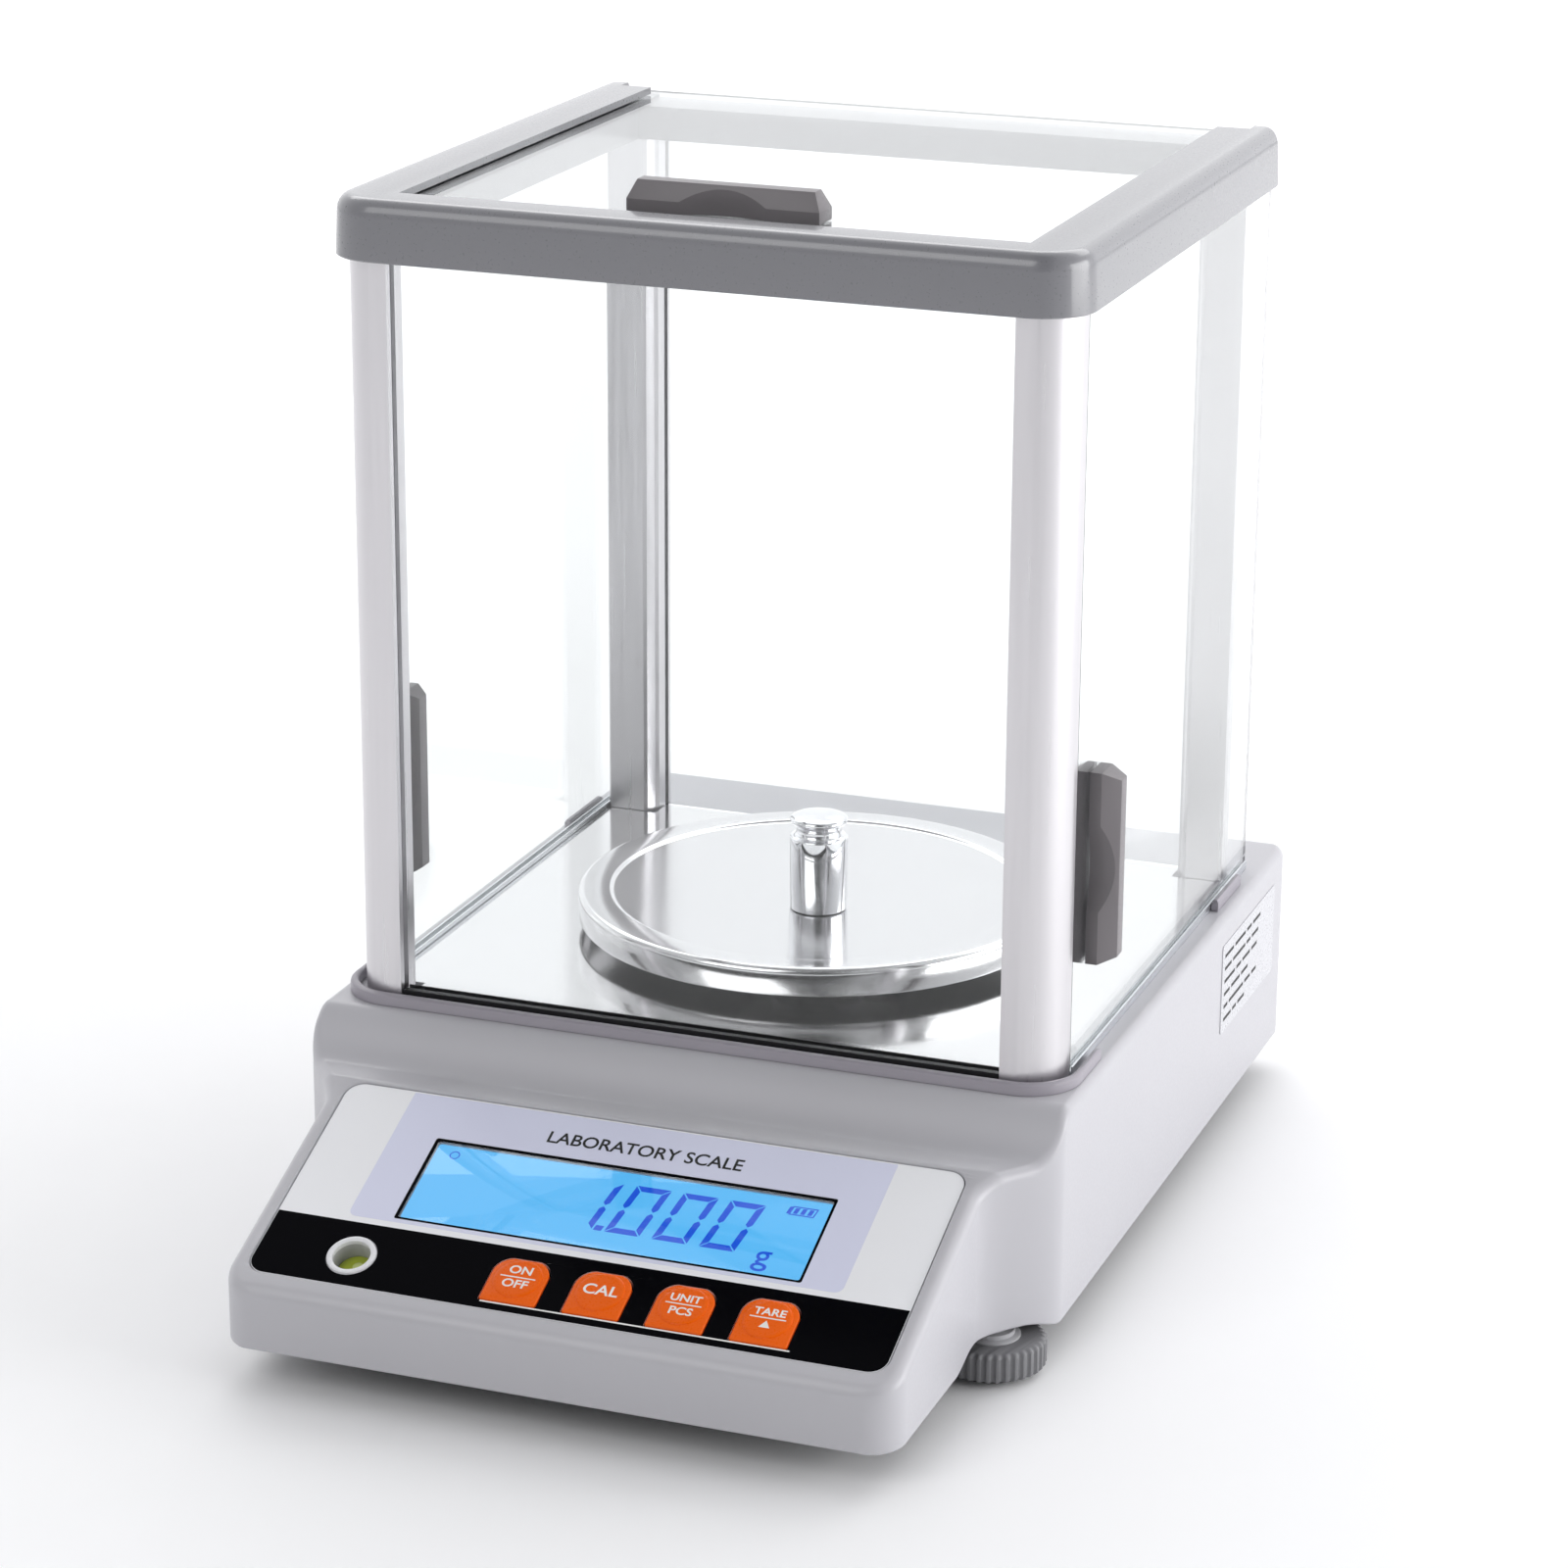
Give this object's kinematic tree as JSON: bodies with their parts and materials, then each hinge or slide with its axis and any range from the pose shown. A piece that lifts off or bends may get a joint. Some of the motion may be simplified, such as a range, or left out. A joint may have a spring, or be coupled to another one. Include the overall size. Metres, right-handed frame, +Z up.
{
  "type": "analytical balance",
  "caption": "Bench-top analytical balance: glass draft shield with sliding side and top doors, round pan, sloped control panel with display and keys.",
  "frame": {"origin": "centre of the footprint on the bench, on the undersides of the feet", "axes": "+Z up, -Y towards the user and the control panel, +X to the user's right"},
  "size_m": [0.2066, 0.306, 0.2835],
  "materials": {
    "housing": "satin silver-grey paint",
    "black_plastic": "moulded",
    "steel": "polished stainless",
    "collar": "satin",
    "gasket": "matt",
    "glass": "clear float glass",
    "grip": "satin",
    "frame": "satin grey paint",
    "aluminium": "satin anodised",
    "foot_plastic": "moulded",
    "rubber": "matt",
    "overlay": "printed film",
    "lcd": "backlit",
    "board": "solder mask",
    "key": "embossed film",
    "bezel": "satin",
    "vial": "clear acrylic",
    "battery": "shrink sleeve",
    "chrome": "mirror polished",
    "label": "printed film"
  },
  "bodies": {
    "base": {"base_housing": "housing", "bottom_plate": "black_plastic", "floor_plate": "steel", "chamber_collar": "collar", "front_gasket": "gasket", "front_glass": "glass", "back_glass": "glass", "top_frame": "frame", "bottom_screw_1": "steel", "bottom_screw_2": "steel", "bottom_screw_3": "steel", "bottom_screw_4": "steel", "front_pillar_left": "aluminium", "back_pillar_left": "aluminium", "door_track_left": "aluminium", "door_guide_left": "collar", "rear_foot_left": "rubber", "front_pillar_right": "aluminium", "back_pillar_right": "aluminium", "door_track_right": "aluminium", "door_guide_right": "collar", "rear_foot_right": "rubber", "display_overlay": "overlay", "lcd_window": "glass", "lcd_module": "lcd", "display_board": "board", "keypad_board": "board", "level_bezel": "bezel", "level_vial": "vial", "main_board": "board", "battery_pack": "battery", "load_cell": "aluminium", "load_cell_mount": "aluminium", "dc_jack": "black_plastic", "rating_label": "label"},
    "left_door": {"door_glass_left": "glass", "door_grip_left": "grip", "door_grip_inner_left": "grip"},
    "right_door": {"door_glass_right": "glass", "door_grip_right": "grip", "door_grip_inner_right": "grip"},
    "top_door": {"top_glass": "glass", "top_grip": "grip", "top_grip_inner": "grip"},
    "pan_carrier": {"pan_support": "steel"},
    "pan": {"weighing_pan": "steel"},
    "weight": {"calibration_weight": "chrome"},
    "on_off_key": {"key_on_off": "key"},
    "cal_key": {"key_cal": "key"},
    "unit_key": {"key_unit": "key"},
    "tare_key": {"key_tare": "key"},
    "left_foot_pad": {"foot_pad_left": "rubber"},
    "left_foot_wheel": {"foot_wheel_left": "foot_plastic"},
    "right_foot_pad": {"foot_pad_right": "rubber"},
    "right_foot_wheel": {"foot_wheel_right": "foot_plastic"}
  },
  "joints": [
    {"name": "left_door_slide", "type": "slide", "parent": "base", "child": "left_door", "axis": [0, 1, 0], "range_m": [0, 0.13]},
    {"name": "right_door_slide", "type": "slide", "parent": "base", "child": "right_door", "axis": [0, 1, 0], "range_m": [0, 0.13]},
    {"name": "top_door_slide", "type": "slide", "parent": "base", "child": "top_door", "axis": [0, 1, 0], "range_m": [0, 0.129]},
    {"name": "on_off_key_press", "type": "slide", "parent": "base", "child": "on_off_key", "axis": [0, 0.3835, -0.9236], "range_m": [0, 0.0006], "stiffness_N_per_m": 1500, "springref_m": -0.0003},
    {"name": "cal_key_press", "type": "slide", "parent": "base", "child": "cal_key", "axis": [0, 0.3835, -0.9236], "range_m": [0, 0.0006], "stiffness_N_per_m": 1500, "springref_m": -0.0003},
    {"name": "unit_key_press", "type": "slide", "parent": "base", "child": "unit_key", "axis": [0, 0.3835, -0.9236], "range_m": [0, 0.0006], "stiffness_N_per_m": 1500, "springref_m": -0.0003},
    {"name": "tare_key_press", "type": "slide", "parent": "base", "child": "tare_key", "axis": [0, 0.3835, -0.9236], "range_m": [0, 0.0006], "stiffness_N_per_m": 1500, "springref_m": -0.0003},
    {"name": "load_cell_travel", "type": "slide", "parent": "base", "child": "pan_carrier", "axis": [0, 0, -1], "range_m": [0, 0.0005], "stiffness_N_per_m": 20000},
    {"name": "pan_lift_off", "type": "slide", "parent": "pan_carrier", "child": "pan", "axis": [0, 0, 1], "range_m": [0, 0.03]},
    {"name": "weight_lift_off", "type": "slide", "parent": "pan", "child": "weight", "axis": [0, 0, 1], "range_m": [0, 0.05]},
    {"name": "left_foot_height", "type": "slide", "parent": "base", "child": "left_foot_pad", "axis": [0, 0, 1], "range_m": [-0.004, 0]},
    {"name": "left_foot_turn", "type": "hinge", "parent": "left_foot_pad", "child": "left_foot_wheel", "pos_m": [-0.087, -0.076, 0], "axis": [0, 0, 1], "range_deg": [-1153, 0]},
    {"name": "right_foot_height", "type": "slide", "parent": "base", "child": "right_foot_pad", "axis": [0, 0, 1], "range_m": [-0.004, 0]},
    {"name": "right_foot_turn", "type": "hinge", "parent": "right_foot_pad", "child": "right_foot_wheel", "pos_m": [0.087, -0.076, 0], "axis": [0, 0, 1], "range_deg": [-1153, 0]}
  ],
  "couplings": [
    {"joint": "left_foot_turn", "follows": "left_foot_height", "rad_per_m": 5026.5},
    {"joint": "right_foot_turn", "follows": "right_foot_height", "rad_per_m": 5026.5}
  ]
}
